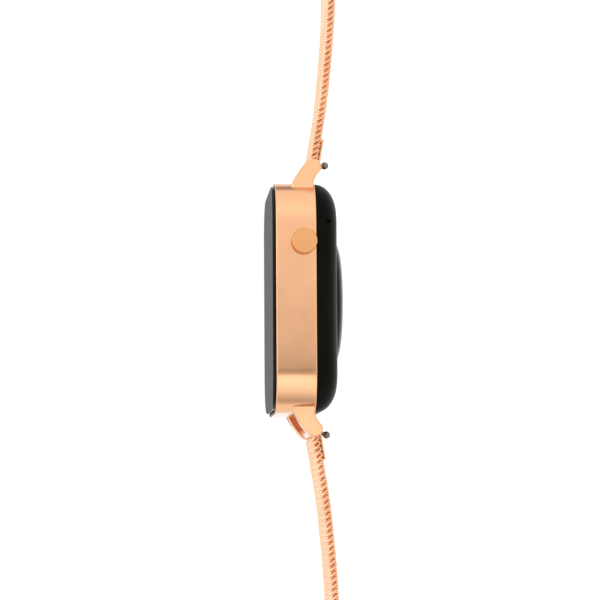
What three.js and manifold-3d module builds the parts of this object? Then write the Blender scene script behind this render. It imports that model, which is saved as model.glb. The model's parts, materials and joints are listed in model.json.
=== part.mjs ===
// A rectangular smartwatch with a crown and a woven metal mesh strap, in millimetres.
// It lies face up: +Z out of the display, +Y towards 12 o'clock, +X towards the crown.
// The origin is the centre of the sensor window's flat face, which rests on the plane z = 0.
import * as THREE from "three";
import { mergeVertices } from "three/addons/utils/BufferGeometryUtils.js";
import Module from "manifold-3d";

const wasm = await Module();
wasm.setup();

// ---- Driving dimensions ----
const GAP = 0.3; // between pieces that touch or are bonded
const FIT = 0.1; // between a pin and its bore
const CASE_WIDTH = 36;
const CASE_LENGTH = 43;
const CASE_CORNER = 8;
const CASE_BOTTOM = 5.6;
const CASE_TOP = 13.05;
const CASE_WALL = 2.2;
const CASE_CHAMFER = 0.3;
const GLASS_PROUD = 0.7; // of the case's top
const GLASS_THICK = 1;
const GLASS_INSET = 0.6;
const SEAL_THICK = 0.3;
const SEAL_WIDTH = 1.2;
const BACK_DEPTH = 4.1;
const BACK_ROUND = 5.5; // how far the pillow edge runs in
const BACK_FLOOR = 1.4;
const BACK_POCKET_INSET = 3.5;
const BACK_LIP = 1.1;
const WINDOW_R = 11.7;
const WINDOW_FLAT_R = 7;
const WINDOW_RIM = 0.5;
const SENSOR_R = 9.5;
const MIC_Y = 13.7;
const MIC_Z = 3.3;
const MIC_R = 0.4;
const CROWN_Y = 9.9;
const CROWN_Z = 7.9;
const CROWN_R = 2.4;
const CROWN_LENGTH = 1.8;
const CROWN_EDGE = 0.2;
const CROWN_TRAVEL = 0.35;
const STEM_R = 0.7;
const BUSHING_R = 1.4;
const WASHER_R = 1.8;
const WASHER_THICK = 0.45;
const CROWN_SEAL_LENGTH = 0.5;
const STEM_INWARD = 2.6; // past the case wall's inner face
const NUB_R = 0.8;
const NUB_REACH = 0.6;
const SWITCH_DEPTH = 1.2;
const SWITCH_WIDTH = 3.2;
const PANEL_THICK = 0.9;
const PANEL_GAP = 0.8; // between the display panel and the chassis
const CHASSIS_THICK = 0.8;
const BOSS_R = 1.9;
const BOSS_INSET = 2.9; // from the case wall's inner faces to a boss's middle
const SCREW_R = 0.6;
const SCREW_LENGTH = 2.8;
const SCREW_HEAD_R = 1.15;
const SCREW_HEAD = 0.4;
const BOARD_SIDE_GAP = 2.5; // from the back's pocket
const BOARD_END_GAP = 1.5;
const BOARD_RAISE = 0.7; // over the back's floor
const BOARD_THICK = 0.8;
const FLEX_WIDTH = 8;
const FLEX_THICK = 0.3;
const SHIELD_WIDTH = 12;
const SHIELD_LENGTH = 16;
const SHIELD_HEIGHT = 1.1;
const SHIELD_PLACE = [-3, -2];
const SHIELD_WALL = 0.3;
const BATTERY_LENGTH = 24;
const BATTERY_END_GAP = 2.3; // from the case wall
const MOTOR_R = 1.9;
const MOTOR_LENGTH = 9;
const MIC_SIZE = [1.9, 3];
const SENSOR_THICK = 0.7;
const COIL_R = 5;
const STRAP_WIDTH = 20;
const STRAP_THICK = 1.55;
const BAR_REACH = 2.9; // from the case's end to the spring bar's axis
const BAR_Z = 5.75;
const BAR_R = 0.75;
const TIP_R = 0.4;
const TIP_REACH = 1.3; // how far a tip goes into its lug
const LUG_THICK = 3.2;
const LUG_TIP_R = 1.45;
const LUG_ROOT_Z = 9.9; // where the lug's front leaves the case's end
const LUG_EDGE = 0.25;
const LINK_R = 1.25;
const FLAP_THICK = 0.35;
const FLAP_LENGTH = 5.9;
const KNOB_X = 6.5;
const KNOB_R = 0.7;
const KNOB_REACH = 2.7;
const KNOB_TILT = 31; // degrees off the back, away from the case
const KNOB_TRAVEL = 1.8;
const BEND_GAP = 0.5; // between two strap slabs
const FIRST_SLAB = 13.75;
const SLAB = 14.8;
const STRAP_SLOPES = [9.6, 5.2, 1.4, 0]; // degrees below level, slab by slab; the last one carries on
const UPPER_SLABS = 5;
const UPPER_LAST = 17;
const LOWER_SLABS = 6;
const LOWER_LAST = 45;
const CLAMP_WALL = 0.45;
const CLAMP_GRIP = 2.4;
const CLAMP_END = 0.8;
const EAR_WIDTH = 1.5;
const CATCH_REACH = 3.4;
const CATCH_R = 0.7;
const CLASP_LENGTH = 17;
const CLASP_PLACE = 23; // along the last slab, from its hinge to the clasp's middle
const CLASP_WALL = 1.2;
const CLASP_HEIGHT = 4.6;
const CLASP_ROOF = 0.5;
const CLASP_BRIDGE = 2.5; // each end of the roof, along the strap
const LOCK_PIN_INSET = 3.4;
const COVER_PIN_INSET = 1.1;
const LEVER_THICK = 0.6;
const COVER_LENGTH = 11;
const COVER_THICK = 0.7;
const CLASP_PIN_R = 0.4;
const HOOK_THICK = 0.5;
const HOOK_HEIGHT = 2.5;
const HOOK_THROAT = 3;
const ROUND = 24; // sides of a round piece

const SIDE = CASE_WIDTH / 2;
const END = CASE_LENGTH / 2;
const INSIDE = SIDE - CASE_WALL;
const BAR_Y = END + BAR_REACH;
const GLASS_TOP = CASE_TOP + GLASS_PROUD;
const GLASS_BOTTOM = GLASS_TOP - GLASS_THICK;
const LEDGE = GLASS_BOTTOM - SEAL_THICK - 2 * FIT;
const BACK_BOTTOM = CASE_BOTTOM - BACK_DEPTH;
const BACK_FLOOR_TOP = BACK_BOTTOM + BACK_FLOOR;
const PANEL_BOTTOM = GLASS_BOTTOM - GAP - PANEL_THICK;
const CHASSIS_TOP = PANEL_BOTTOM - PANEL_GAP;
const CHASSIS_BOTTOM = CHASSIS_TOP - CHASSIS_THICK;
const HALF_BOARD = [SIDE - BACK_POCKET_INSET - BOARD_SIDE_GAP, END - BACK_POCKET_INSET - BOARD_END_GAP];
const BOARD_BOTTOM = BACK_FLOOR_TOP + BOARD_RAISE;
const BOARD_TOP = BOARD_BOTTOM + BOARD_THICK;
const WINDOW_TOP = BACK_BOTTOM + WINDOW_RIM;
const LUG_INNER = STRAP_WIDTH / 2 + 0.2;
const STRAP_FLAT_Z = CLAMP_WALL + 0.2 + GAP + STRAP_THICK / 2;

// ---- Materials ----
function finish(color, roughness, metalness) {
  return new THREE.MeshStandardMaterial({ color, roughness, metalness });
}
const ROSE = finish(0xebb185, 0.3, 1);
const BLACK = finish(0x16171a, 0.4, 0);
const GLASS = finish(0x101413, 0.05, 0);
const STEEL = finish(0xb8b8b8, 0.3, 1);
const RUBBER = finish(0x1c1c1c, 0.9, 0);
const BOARD = finish(0x1f4d2b, 0.6, 0);
const COPPER = finish(0xb87333, 0.4, 1);
const CELL = finish(0x3a3d42, 0.5, 0);
const AMBER = finish(0xb5702a, 0.6, 0);

// ---- Solids ----
function solid(geometry) {
  const bare = geometry.clone();
  bare.deleteAttribute("normal");
  bare.deleteAttribute("uv");
  const merged = mergeVertices(bare, 1e-4);
  const corners = merged.index.array;
  const kept = [];
  for (let i = 0; i < corners.length; i += 3) {
    const [a, b, c] = corners.slice(i, i + 3);
    if (a !== b && b !== c && a !== c) kept.push(a, b, c);
  }
  const vertProperties = merged.attributes.position.array;
  return new wasm.Manifold(new wasm.Mesh({ numProp: 3, vertProperties, triVerts: new Uint32Array(kept) }));
}

function piece(name, body, material) {
  const { vertProperties, triVerts } = body.getMesh();
  const geometry = new THREE.BufferGeometry();
  geometry.setAttribute("position", new THREE.BufferAttribute(vertProperties, 3));
  geometry.setIndex(new THREE.BufferAttribute(triVerts, 1));
  geometry.computeVertexNormals();
  const mesh = new THREE.Mesh(geometry, material);
  mesh.name = name;
  return mesh;
}

function block([x0, x1], [y0, y1], [z0, z1]) {
  const geometry = new THREE.BoxGeometry(x1 - x0, y1 - y0, z1 - z0);
  return solid(geometry.translate((x0 + x1) / 2, (y0 + y1) / 2, (z0 + z1) / 2));
}

function rodGeometry(radius, [x0, x1], y, z, sides = ROUND) {
  const geometry = new THREE.CylinderGeometry(radius, radius, x1 - x0, sides);
  return geometry.rotateZ(Math.PI / 2).translate((x0 + x1) / 2, y, z);
}

// A round bar along X.
function rod(radius, span, y = 0, z = 0, sides = ROUND) {
  return solid(rodGeometry(radius, span, y, z, sides));
}

// A round bar along Z.
function post(radius, x, y, [z0, z1], sides = ROUND) {
  const geometry = new THREE.CylinderGeometry(radius, radius, z1 - z0, sides);
  return solid(geometry.rotateX(Math.PI / 2).translate(x, y, (z0 + z1) / 2));
}

function roundedRectangle(width, length, corner) {
  const shape = new THREE.Shape();
  const [x, y] = [width / 2 - corner, length / 2 - corner];
  shape.absarc(x, y, corner, 0, Math.PI / 2);
  shape.absarc(-x, y, corner, Math.PI / 2, Math.PI);
  shape.absarc(-x, -y, corner, Math.PI, 1.5 * Math.PI);
  shape.absarc(x, -y, corner, 1.5 * Math.PI, 2 * Math.PI);
  return shape;
}

// A flat plate with round corners and, if asked, a chamfer round its two faces.
function plate(inset, [z0, z1], chamfer = 0) {
  const shape = roundedRectangle(CASE_WIDTH - 2 * inset, CASE_LENGTH - 2 * inset, CASE_CORNER - inset);
  const geometry = new THREE.ExtrudeGeometry(shape, {
    depth: z1 - z0 - 2 * chamfer,
    curveSegments: 8,
    bevelEnabled: chamfer > 0,
    bevelSegments: 1,
    bevelThickness: chamfer,
    bevelSize: chamfer,
    bevelOffset: -chamfer,
  });
  return solid(geometry.translate(0, 0, z0 + chamfer));
}

// An outline in Y and Z, carried across X.
function across(shape, [x0, x1], curveSegments = 8, edge = 0) {
  const geometry = new THREE.ExtrudeGeometry(shape, {
    depth: x1 - x0 - 2 * edge,
    curveSegments,
    bevelEnabled: edge > 0,
    bevelSegments: 1,
    bevelThickness: edge,
    bevelSize: edge,
    bevelOffset: -edge,
  });
  const [alongX, alongY, alongZ] = [[1, 0, 0], [0, 1, 0], [0, 0, 1]].map((v) => new THREE.Vector3(...v));
  const turn = new THREE.Matrix4().makeBasis(alongY, alongZ, alongX);
  return solid(geometry.applyMatrix4(turn).translate(x0 + edge, 0, 0));
}

// A ring round the Z axis, or a disc where the inner radius is 0.
function ring(inner, outer, [z0, z1], sides = 32) {
  const made = post(outer, 0, 0, [z0, z1], sides);
  return inner > 0 ? made.subtract(post(inner, 0, 0, [z0 - 1, z1 + 1], sides)) : made;
}

// ---- Case ----
function lugOutline() {
  const root = END - CASE_WALL * 0.75;
  const back = CASE_BOTTOM + CASE_CHAMFER;
  const [tipStart, tipEnd] = [0.3, -2.1];
  const onTip = (turn) => [BAR_Y + LUG_TIP_R * Math.cos(turn), BAR_Z + LUG_TIP_R * Math.sin(turn)];
  const shape = new THREE.Shape();
  shape.moveTo(root, back);
  shape.lineTo(root, LUG_ROOT_Z);
  shape.lineTo(END - 0.3, LUG_ROOT_Z);
  shape.quadraticCurveTo(END + 1.8, LUG_ROOT_Z - 1.1, BAR_Y + 0.5, BAR_Z + 1.75);
  shape.quadraticCurveTo(BAR_Y + 1.25, BAR_Z + 1.15, ...onTip(tipStart));
  shape.absarc(BAR_Y, BAR_Z, LUG_TIP_R, tipStart, tipEnd, true);
  shape.quadraticCurveTo(END + 1.2, back - 0.35, END + 0.2, back);
  return shape;
}

function withLugs(body) {
  const outline = lugOutline();
  for (const x of [LUG_INNER, -LUG_INNER - LUG_THICK]) {
    const lug = across(outline, [x, x + LUG_THICK], 6, LUG_EDGE);
    body = body.add(lug).add(turnedRound(lug));
  }
  const hole = LUG_INNER + TIP_REACH + GAP;
  for (const y of [BAR_Y, -BAR_Y]) body = body.subtract(rod(TIP_R + FIT, [-hole, hole], y, BAR_Z, 16));
  return body;
}

// The same solid turned half a turn about Z.
function turnedRound(body) {
  const { vertProperties, triVerts } = body.getMesh();
  const geometry = new THREE.BufferGeometry();
  geometry.setAttribute("position", new THREE.BufferAttribute(vertProperties, 3));
  geometry.setIndex(new THREE.BufferAttribute(triVerts, 1));
  return solid(geometry.rotateZ(Math.PI));
}

const BOSSES = [[1, 1], [-1, 1], [-1, -1], [1, -1]].map(([sx, sy]) => [
  sx * (INSIDE - BOSS_INSET),
  sy * (END - CASE_WALL - BOSS_INSET),
]);

function caseFrame() {
  let body = plate(0, [CASE_BOTTOM, CASE_TOP], CASE_CHAMFER);
  body = withLugs(body).subtract(plate(CASE_WALL, [CASE_BOTTOM - 1, CASE_TOP + 1]));
  body = body.subtract(plate(GLASS_INSET - 0.15, [LEDGE, CASE_TOP + 1]));
  const bossBottom = CASE_BOTTOM + BACK_LIP + GAP;
  for (const [x, y] of BOSSES) {
    body = body.add(post(BOSS_R, x, y, [bossBottom, CHASSIS_BOTTOM - GAP], 16));
    body = body.subtract(post(SCREW_R + FIT, x, y, [bossBottom + 0.8, CHASSIS_TOP], 12));
  }
  const hole = [INSIDE - 1, SIDE + 1];
  return body.subtract(rod(BUSHING_R + FIT, hole, CROWN_Y, CROWN_Z));
}

function backCover() {
  const shape = roundedRectangle(CASE_WIDTH - 0.3, CASE_LENGTH - 0.3, CASE_CORNER - 0.15);
  const pillow = new THREE.ExtrudeGeometry(shape, {
    depth: 1,
    curveSegments: 8,
    bevelSegments: 7,
    bevelThickness: BACK_DEPTH - FIT,
    bevelSize: BACK_ROUND,
    bevelOffset: -BACK_ROUND,
  });
  const top = CASE_BOTTOM - FIT;
  let body = solid(pillow.translate(0, 0, top));
  body = body.intersect(block([-CASE_WIDTH, CASE_WIDTH], [-CASE_LENGTH, CASE_LENGTH], [0, top]));
  const lipInset = CASE_WALL + 2 * FIT;
  body = body.add(plate(lipInset, [top - 0.5, CASE_BOTTOM + BACK_LIP]));
  body = body.subtract(plate(BACK_POCKET_INSET, [BACK_FLOOR_TOP, CASE_BOTTOM + BACK_LIP + 1]));
  const groove = [CASE_BOTTOM + 0.25, CASE_BOTTOM + 0.85];
  body = body.subtract(plate(0, groove).subtract(plate(lipInset + 0.5, [groove[0] - 1, groove[1] + 1])));
  body = body.subtract(ring(0, WINDOW_R + 0.2, [-1, WINDOW_TOP + GAP]));
  body = body.subtract(ring(0, SENSOR_R + 0.5, [0, BACK_FLOOR_TOP + 1]));
  const inner = SIDE - BACK_POCKET_INSET - 1;
  body = body.subtract(rod(WASHER_R + GAP, [inner, INSIDE + 1], CROWN_Y, CROWN_Z));
  return body.subtract(rod(MIC_R, [inner, SIDE + 1], MIC_Y, MIC_Z, 12));
}

function backSeal() {
  const outer = plate(CASE_WALL + FIT, [CASE_BOTTOM + 0.35, CASE_BOTTOM + 0.75]);
  return outer.subtract(plate(CASE_WALL + 2 * FIT + 0.4, [CASE_BOTTOM, CASE_BOTTOM + 2]));
}

function glassSeal() {
  const inset = CASE_WALL - 0.3 - SEAL_WIDTH;
  const span = [LEDGE + FIT, LEDGE + FIT + SEAL_THICK];
  return plate(inset, span).subtract(plate(inset + SEAL_WIDTH, [LEDGE - 1, GLASS_TOP]));
}

function sensorWindow() {
  const profile = [new THREE.Vector2(0, 0)];
  const steps = 6;
  for (let i = 0; i <= steps; i++) {
    const turn = (i / steps) * (Math.PI / 2);
    const outwards = (WINDOW_R - WINDOW_FLAT_R) * Math.sin(turn);
    profile.push(new THREE.Vector2(WINDOW_FLAT_R + outwards, BACK_BOTTOM * (1 - Math.cos(turn))));
  }
  profile.push(new THREE.Vector2(WINDOW_R, WINDOW_TOP), new THREE.Vector2(0, WINDOW_TOP));
  return solid(new THREE.LatheGeometry(profile, 32).rotateX(Math.PI / 2));
}

function chassis() {
  let body = plate(CASE_WALL + GAP, [CHASSIS_BOTTOM, CHASSIS_TOP]);
  for (const [x, y] of BOSSES) {
    body = body.subtract(post(SCREW_R + FIT, x, y, [CHASSIS_BOTTOM - 1, CHASSIS_TOP + 1], 12));
  }
  const notch = FLEX_WIDTH / 2 + 1;
  const open = [CHASSIS_BOTTOM - 1, CHASSIS_TOP + 1];
  return body.subtract(block([-notch, notch], [HALF_BOARD[1], CASE_LENGTH], open));
}

function chassisScrew([x, y]) {
  const headBottom = CHASSIS_TOP + FIT;
  const shank = post(SCREW_R, x, y, [headBottom - SCREW_LENGTH, headBottom + SCREW_HEAD / 2], 12);
  return shank.add(post(SCREW_HEAD_R, x, y, [headBottom, headBottom + SCREW_HEAD], 16));
}

function displayFlex() {
  const [inner, outer] = [HALF_BOARD[1] - 2, HALF_BOARD[1] + 1];
  const [low, high] = [BOARD_TOP + GAP, PANEL_BOTTOM - 2 * FIT];
  const shape = new THREE.Shape([
    new THREE.Vector2(inner, low),
    new THREE.Vector2(outer, low),
    new THREE.Vector2(outer, high),
    new THREE.Vector2(inner, high),
    new THREE.Vector2(inner, high - FLEX_THICK),
    new THREE.Vector2(outer - FLEX_THICK, high - FLEX_THICK),
    new THREE.Vector2(outer - FLEX_THICK, low + FLEX_THICK),
    new THREE.Vector2(inner, low + FLEX_THICK),
  ]);
  return across(shape, [-FLEX_WIDTH / 2, FLEX_WIDTH / 2]);
}

function boardShield(top) {
  const [x, y] = SHIELD_PLACE;
  const half = [SHIELD_WIDTH / 2, SHIELD_LENGTH / 2];
  const box = (wall, span) =>
    block([x - half[0] + wall, x + half[0] - wall], [y - half[1] + wall, y + half[1] - wall], span);
  return box(0, [BOARD_TOP + FIT, top]).subtract(box(SHIELD_WALL, [0, top - SHIELD_WALL]));
}

function electronics(group) {
  const [x, y] = HALF_BOARD;
  group.add(piece("main_board", block([-x, x], [-y, y], [BOARD_BOTTOM, BOARD_TOP]), BOARD));
  const shieldTop = BOARD_TOP + FIT + SHIELD_HEIGHT;
  group.add(piece("board_shield", boardShield(shieldTop), STEEL));
  const cellTop = CHASSIS_BOTTOM - GAP;
  const halfCell = INSIDE - BOSS_INSET - BOSS_R - GAP;
  const cellStart = -END + CASE_WALL + BATTERY_END_GAP;
  const cellEnd = cellStart + BATTERY_LENGTH;
  const cell = block([-halfCell, halfCell], [cellStart, cellEnd], [shieldTop + GAP, cellTop]);
  group.add(piece("battery", cell, CELL));
  const motorY = cellEnd + MOTOR_R + 0.8;
  const motor = rod(MOTOR_R, [-halfCell, MOTOR_LENGTH - halfCell], motorY, cellTop - MOTOR_R, 20);
  group.add(piece("vibration_motor", motor, STEEL));
  const micX = SIDE - BACK_POCKET_INSET - GAP;
  const micY = [MIC_Y - MIC_SIZE[1] / 2, MIC_Y + MIC_SIZE[1] / 2];
  const mic = block([micX - MIC_SIZE[0], micX], micY, [BACK_FLOOR_TOP + FIT, MIC_Z + MIC_R + 0.5]);
  group.add(piece("microphone", mic, STEEL));
  const sensorBottom = WINDOW_TOP + GAP + FIT;
  const sensorTop = sensorBottom + SENSOR_THICK;
  group.add(piece("sensor_board", ring(0, SENSOR_R, [sensorBottom, sensorTop]), BOARD));
  const coil = ring(COIL_R, SENSOR_R - 0.5, [sensorTop + FIT, BOARD_BOTTOM - FIT]);
  group.add(piece("charging_coil", coil, COPPER));
}

function insides(group) {
  const panel = plate(CASE_WALL + GAP, [PANEL_BOTTOM, PANEL_BOTTOM + PANEL_THICK]);
  group.add(piece("display_panel", panel, BLACK));
  group.add(piece("display_flex", displayFlex(), AMBER));
  group.add(piece("inner_chassis", chassis(), STEEL));
  BOSSES.forEach((place, i) => group.add(piece(`chassis_screw_${i + 1}`, chassisScrew(place), STEEL)));
  electronics(group);
}

// ---- Crown ----
function crown(group) {
  const capStart = SIDE + CROWN_TRAVEL + FIT;
  const stemEnd = capStart + CROWN_LENGTH / 2;
  const profile = [
    [0, 0],
    [CROWN_R - CROWN_EDGE, 0],
    [CROWN_R, CROWN_EDGE],
    [CROWN_R, CROWN_LENGTH - CROWN_EDGE],
    [CROWN_R - CROWN_EDGE, CROWN_LENGTH],
    [0, CROWN_LENGTH],
  ].map(([r, h]) => new THREE.Vector2(r, h));
  const turned = new THREE.LatheGeometry(profile, 32).rotateZ(-Math.PI / 2);
  const cap = solid(turned.translate(capStart, CROWN_Y, CROWN_Z));
  const onAxis = (radius, span, sides = 16) => rod(radius, span, CROWN_Y, CROWN_Z, sides);
  const bore = onAxis(STEM_R + FIT, [0, stemEnd]);
  group.add(piece("crown_cap", cap.subtract(bore), ROSE));
  group.add(piece("crown_stem", onAxis(STEM_R, [INSIDE - STEM_INWARD, stemEnd - FIT]), STEEL));
  const tube = (outer, span) => onAxis(outer, span, 20).subtract(bore);
  const sealStart = INSIDE + 1.5 * FIT;
  const bushingStart = sealStart + CROWN_SEAL_LENGTH + 1.5 * FIT;
  group.add(piece("crown_bushing", tube(BUSHING_R, [bushingStart, SIDE]), STEEL));
  group.add(piece("crown_seal", tube(BUSHING_R, [sealStart, sealStart + CROWN_SEAL_LENGTH]), RUBBER));
  const washerEnd = INSIDE - 0.75;
  group.add(piece("crown_washer", tube(WASHER_R, [washerEnd - WASHER_THICK, washerEnd]), STEEL));
  const nub = INSIDE - STEM_INWARD - CROWN_TRAVEL - FIT;
  const face = nub - NUB_REACH;
  const baseY = [CROWN_Y - SWITCH_WIDTH / 2, CROWN_Y + SWITCH_WIDTH / 2];
  const base = block([face - SWITCH_DEPTH, face], baseY, [BOARD_TOP + GAP, CROWN_Z + 1.5]);
  group.add(piece("crown_switch", base.add(onAxis(NUB_R, [face - 0.4, nub])), BLACK));
}

// ---- Strap: each half is made on the +Y side, and the 6 o'clock half is its mirror image ----
function slabOutline(start, end) {
  const r = STRAP_THICK / 2;
  const shape = new THREE.Shape();
  shape.absarc(start + r, 0, r, Math.PI / 2, Math.PI * 1.5);
  shape.absarc(end - r, 0, r, -Math.PI / 2, Math.PI / 2);
  return shape;
}

function endLink() {
  const reach = STRAP_WIDTH / 2 - 0.2;
  const tube = rod(LINK_R, [-reach, reach], 0, 0);
  const top = -STRAP_THICK / 2 - FIT;
  const flap = block([-reach, reach], [0, FLAP_LENGTH], [top - FLAP_THICK, top]);
  const body = tube.add(flap).subtract(rod(BAR_R + FIT, [-reach - 1, reach + 1]));
  const room = TIP_R + 0.25;
  const slot = [KNOB_X - KNOB_TRAVEL - room, KNOB_X + room];
  return body.subtract(block(slot, [-0.35, 1.9], [-3, -0.4]));
}

function knobSlot() {
  const room = TIP_R + 0.15;
  const span = [KNOB_X - KNOB_TRAVEL - room, KNOB_X + room];
  const geometry = new THREE.BoxGeometry(span[1] - span[0], 2 * room, 1.5);
  geometry.translate((span[0] + span[1]) / 2, 0, -0.75);
  return solid(geometry.rotateX(THREE.MathUtils.degToRad(KNOB_TILT)));
}

function springBar() {
  const reach = STRAP_WIDTH / 2 - 0.3;
  const body = rod(BAR_R, [-reach, reach]).add(rod(TIP_R, [-LUG_INNER - TIP_REACH, 0], 0, 0, 16));
  return body.subtract(rod(TIP_R + FIT, [KNOB_X - 5.5, reach + 1], 0, 0, 16)).subtract(knobSlot());
}

function releasePlunger() {
  const shank = rod(TIP_R, [KNOB_X - 3.5, LUG_INNER + TIP_REACH], 0, 0, 16);
  const neck = new THREE.CylinderGeometry(TIP_R, TIP_R, KNOB_REACH, 12);
  neck.rotateX(Math.PI / 2).translate(KNOB_X, 0, -KNOB_REACH / 2);
  const ball = new THREE.SphereGeometry(KNOB_R, 16, 10).translate(KNOB_X, 0, -KNOB_REACH);
  const tilt = THREE.MathUtils.degToRad(KNOB_TILT);
  return shank.add(solid(neck.rotateX(tilt))).add(solid(ball.rotateX(tilt)));
}

// The clamp on a strap's end, from the last slab's end; with ears it also carries the catch bar.
function endClamp(end, ears) {
  const half = STRAP_THICK / 2 + FIT;
  const [outerX, outerZ] = [STRAP_WIDTH / 2 + FIT + CLAMP_WALL, half + CLAMP_WALL];
  let body = block([-outerX, outerX], [end - CLAMP_GRIP, end + CLAMP_END], [-outerZ, outerZ]);
  const mouth = STRAP_WIDTH / 2 + FIT;
  body = body.subtract(block([-mouth, mouth], [end - CLAMP_GRIP - 1, end + FIT], [-half, half]));
  if (!ears) return body;
  const pin = end + CATCH_REACH;
  for (const x of [-outerX, outerX - EAR_WIDTH]) {
    body = body.add(block([x, x + EAR_WIDTH], [end + CLAMP_END / 2, pin], [-outerZ, outerZ]));
    body = body.add(rod(outerZ, [x, x + EAR_WIDTH], pin, 0, 20));
  }
  return body.subtract(rod(CATCH_R + FIT, [-outerX - 1, outerX + 1], pin, 0, 16));
}

function strapHalf(side, count, lastLength) {
  const half = new THREE.Group();
  const bar = new THREE.Group();
  bar.position.set(0, BAR_Y, BAR_Z);
  bar.rotation.x = -THREE.MathUtils.degToRad(STRAP_SLOPES[0]);
  bar.add(piece(`${side}_end_link`, endLink(), ROSE));
  bar.add(piece(`${side}_spring_bar`, springBar(), STEEL));
  bar.add(piece(`${side}_release_plunger`, releasePlunger(), STEEL));
  half.add(bar);
  let [y, z] = [BAR_Y, BAR_Z];
  let last;
  for (let i = 0; i < count; i++) {
    const length = i === 0 ? FIRST_SLAB : i === count - 1 ? lastLength : SLAB;
    const slope = THREE.MathUtils.degToRad(STRAP_SLOPES[Math.min(i, STRAP_SLOPES.length - 1)]);
    const start = i === 0 ? LINK_R + GAP : BEND_GAP / 2;
    const end = i === count - 1 ? length : length - BEND_GAP / 2;
    last = new THREE.Group();
    last.position.set(0, y, z);
    last.rotation.x = -slope;
    const mesh = across(slabOutline(start, end), [-STRAP_WIDTH / 2, STRAP_WIDTH / 2], 8);
    last.add(piece(`${side}_mesh_${i + 1}`, mesh, ROSE));
    half.add(last);
    y += length * Math.cos(slope);
    z -= length * Math.sin(slope);
  }
  return { half, last };
}

// ---- Clasp: a channel that slides on the last slab, in that slab's own frame ----
function claspBody(floor) {
  const [x, y] = [STRAP_WIDTH / 2 + GAP, CLASP_LENGTH / 2];
  const roof = STRAP_THICK / 2 + GAP;
  let body = block([-x - CLASP_WALL, x + CLASP_WALL], [-y, y], [floor, floor + CLASP_HEIGHT]);
  const open = floor + CLASP_HEIGHT + 1;
  body = body.subtract(block([-x, x], [-y - 1, y + 1], [-roof, roof]));
  body = body.subtract(block([-x, x], [-y - 1, y + 1], [roof + CLASP_ROOF, open]));
  body = body.subtract(block([-x, x], [CLASP_BRIDGE - y, y - CLASP_BRIDGE], [0, open]));
  for (const place of claspPins()) {
    body = body.subtract(rod(CLASP_PIN_R + FIT, [-x - CLASP_WALL - 1, x + CLASP_WALL + 1], ...place, 16));
  }
  return body;
}

// The two hinge pins: the lock lever's, then the cover's.
function claspPins() {
  const z = STRAP_THICK / 2 + GAP + CLASP_ROOF + GAP + 2 * CLASP_PIN_R;
  return [[LOCK_PIN_INSET - CLASP_LENGTH / 2, z], [CLASP_LENGTH / 2 - COVER_PIN_INSET, z]];
}

// A plate on a knuckle: it runs from its pin to `reach` beyond it along Y.
function leaf([y, z], reach, halfWidth, thick) {
  const knuckle = 2 * CLASP_PIN_R;
  const top = z + knuckle - FIT;
  let body = rod(knuckle, [-halfWidth, halfWidth], y, z, 20);
  body = body.add(block([-halfWidth, halfWidth], [y, y + reach], [top - thick, top]));
  return body.subtract(rod(CLASP_PIN_R + FIT, [-halfWidth - 1, halfWidth + 1], y, z, 16));
}

function clasp() {
  const group = new THREE.Group();
  const [lockPin, coverPin] = claspPins();
  const halfWidth = STRAP_WIDTH / 2;
  group.add(piece("clasp_body", claspBody(-STRAP_FLAT_Z), ROSE));
  const leverReach = coverPin[0] - lockPin[0] - 2 * CLASP_PIN_R - 2 * GAP;
  group.add(piece("clasp_lock_lever", leaf(lockPin, leverReach, halfWidth, LEVER_THICK), ROSE));
  group.add(piece("clasp_cover", leaf(coverPin, COVER_LENGTH, halfWidth, COVER_THICK), ROSE));
  const pinReach = halfWidth + GAP + CLASP_WALL - FIT;
  group.add(piece("clasp_lock_pin", rod(CLASP_PIN_R, [-pinReach, pinReach], ...lockPin, 16), STEEL));
  group.add(piece("clasp_cover_pin", rod(CLASP_PIN_R, [-pinReach, pinReach], ...coverPin, 16), STEEL));
  const foot = coverPin[1] + 2 * CLASP_PIN_R;
  const hook = claspHook(coverPin[0] + 2.5, coverPin[0] + COVER_LENGTH - 0.5, foot);
  group.add(piece("clasp_hook", across(hook, [-halfWidth + 3, halfWidth - 3]), STEEL));
  return group;
}

// The hook's side: a foot along the cover, and a throat that opens towards the cover's free end.
function claspHook(start, end, foot) {
  const top = foot + HOOK_HEIGHT;
  return new THREE.Shape([
    new THREE.Vector2(start, foot),
    new THREE.Vector2(end, foot),
    new THREE.Vector2(end, foot + HOOK_THICK),
    new THREE.Vector2(start + HOOK_THICK, foot + HOOK_THICK),
    new THREE.Vector2(start + HOOK_THICK, top - HOOK_THICK),
    new THREE.Vector2(start + HOOK_THROAT, top - HOOK_THICK),
    new THREE.Vector2(start + HOOK_THROAT, top),
    new THREE.Vector2(start, top),
  ]);
}

function upperStrap() {
  const { half, last } = strapHalf("upper", UPPER_SLABS, UPPER_LAST);
  last.add(piece("upper_end_clamp", endClamp(UPPER_LAST, true), ROSE));
  const reach = STRAP_WIDTH / 2 + CLAMP_WALL;
  last.add(piece("catch_bar", rod(CATCH_R, [-reach, reach], UPPER_LAST + CATCH_REACH, 0, 16), STEEL));
  return half;
}

function lowerStrap() {
  const { half, last } = strapHalf("lower", LOWER_SLABS, LOWER_LAST);
  last.add(piece("lower_tip_clamp", endClamp(LOWER_LAST, false), ROSE));
  const clip = clasp();
  clip.position.y = CLASP_PLACE;
  last.add(clip);
  half.scale.y = -1;
  return half;
}

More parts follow.
